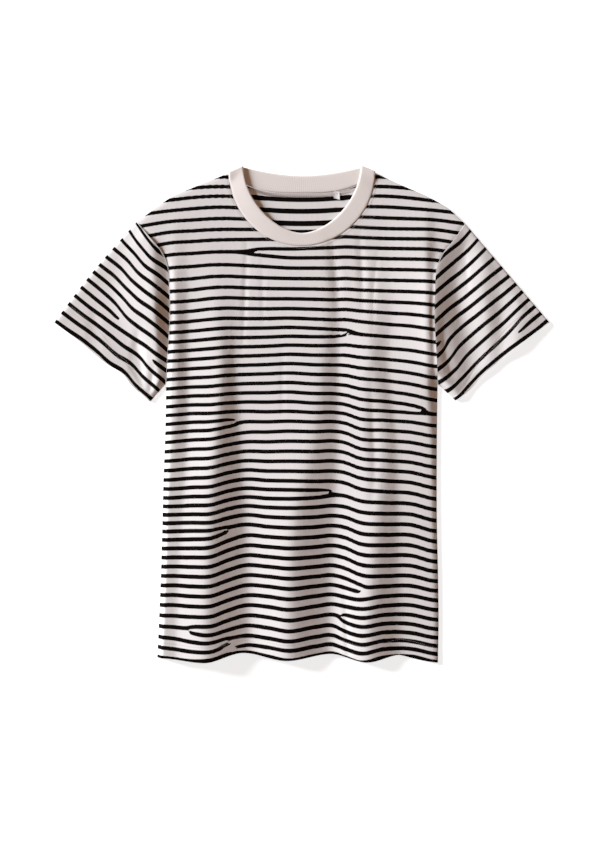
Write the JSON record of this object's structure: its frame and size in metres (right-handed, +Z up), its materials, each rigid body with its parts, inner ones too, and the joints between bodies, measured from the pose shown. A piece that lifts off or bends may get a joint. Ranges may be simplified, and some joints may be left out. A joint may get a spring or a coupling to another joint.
{
  "type": "t-shirt",
  "caption": "Short-sleeved crew-neck T-shirt in striped cotton jersey with a plain rib neckband, laid flat face up with soft lengthwise folds",
  "frame": {"origin": "middle of the shirt's outline seen from above, on the surface it lies on", "axes": "+Z up from the surface, +Y from the hem to the neck, +X to the right with the shirt seen face up, which is the wearer's left"},
  "size_m": [0.7231, 0.7256, 0.0182],
  "materials": {
    "jersey": "soft matt cotton jersey, off-white with narrow black stripes",
    "rib": "matt fine rib knit, off-white",
    "tab": "white woven tape, blank"
  },
  "bodies": {
    "root": {"front": "jersey", "back": "jersey", "sleeve_left": "jersey", "sleeve_right": "jersey", "neck_rib": "rib", "size_tab": "tab"}
  },
  "joints": []
}
